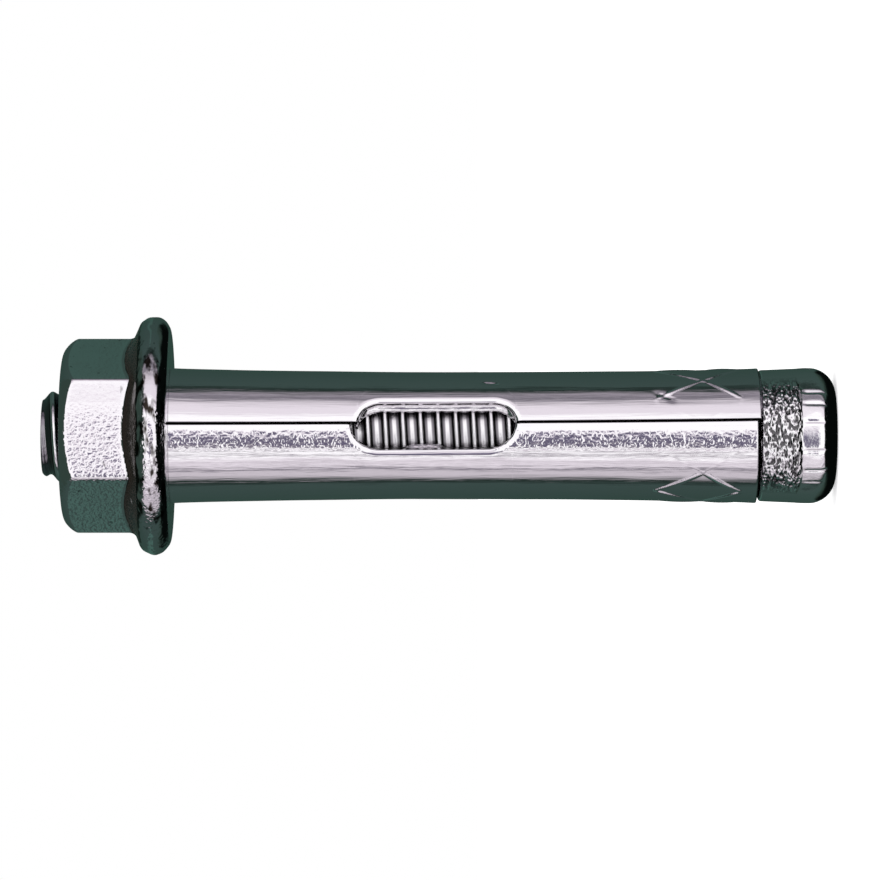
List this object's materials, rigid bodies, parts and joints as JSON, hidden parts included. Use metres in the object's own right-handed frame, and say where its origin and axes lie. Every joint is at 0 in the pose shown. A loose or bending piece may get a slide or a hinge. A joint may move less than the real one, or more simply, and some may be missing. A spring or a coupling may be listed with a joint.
{
  "type": "sleeve anchor",
  "caption": "Sleeve anchor for masonry: threaded stud with an expansion cone inside a slit, windowed sleeve, tightened by a hexagon flange nut.",
  "frame": {"origin": "centre of the flat end face of the stud's expansion cone, on which the anchor stands", "axes": "+Z along the stud from the cone end towards the nut; -Y towards the seam and window of the sleeve"},
  "size_m": [0.0136, 0.0136, 0.0452],
  "materials": {
    "stud_steel": "bright zinc plate on forged and rolled steel",
    "sleeve_steel": "bright zinc plate on rolled sheet steel",
    "nut_steel": "bright zinc plate on cold-formed steel"
  },
  "bodies": {
    "stud": {"anchor_stud": "stud_steel"},
    "sleeve": {"expansion_sleeve": "sleeve_steel"},
    "nut": {"flange_nut": "nut_steel"}
  },
  "joints": [
    {"name": "sleeve_slide", "type": "slide", "parent": "stud", "child": "sleeve", "axis": [0, 0, 1], "range_m": [0, 0.007]},
    {"name": "nut_turn", "type": "hinge", "parent": "sleeve", "child": "nut", "pos_m": [0, 0, 0.041], "axis": [0, 0, 1], "range_deg": [0, 2520]}
  ],
  "couplings": [
    {"joint": "sleeve_slide", "follows": "nut_turn", "m_per_rad": 0.00015915}
  ]
}
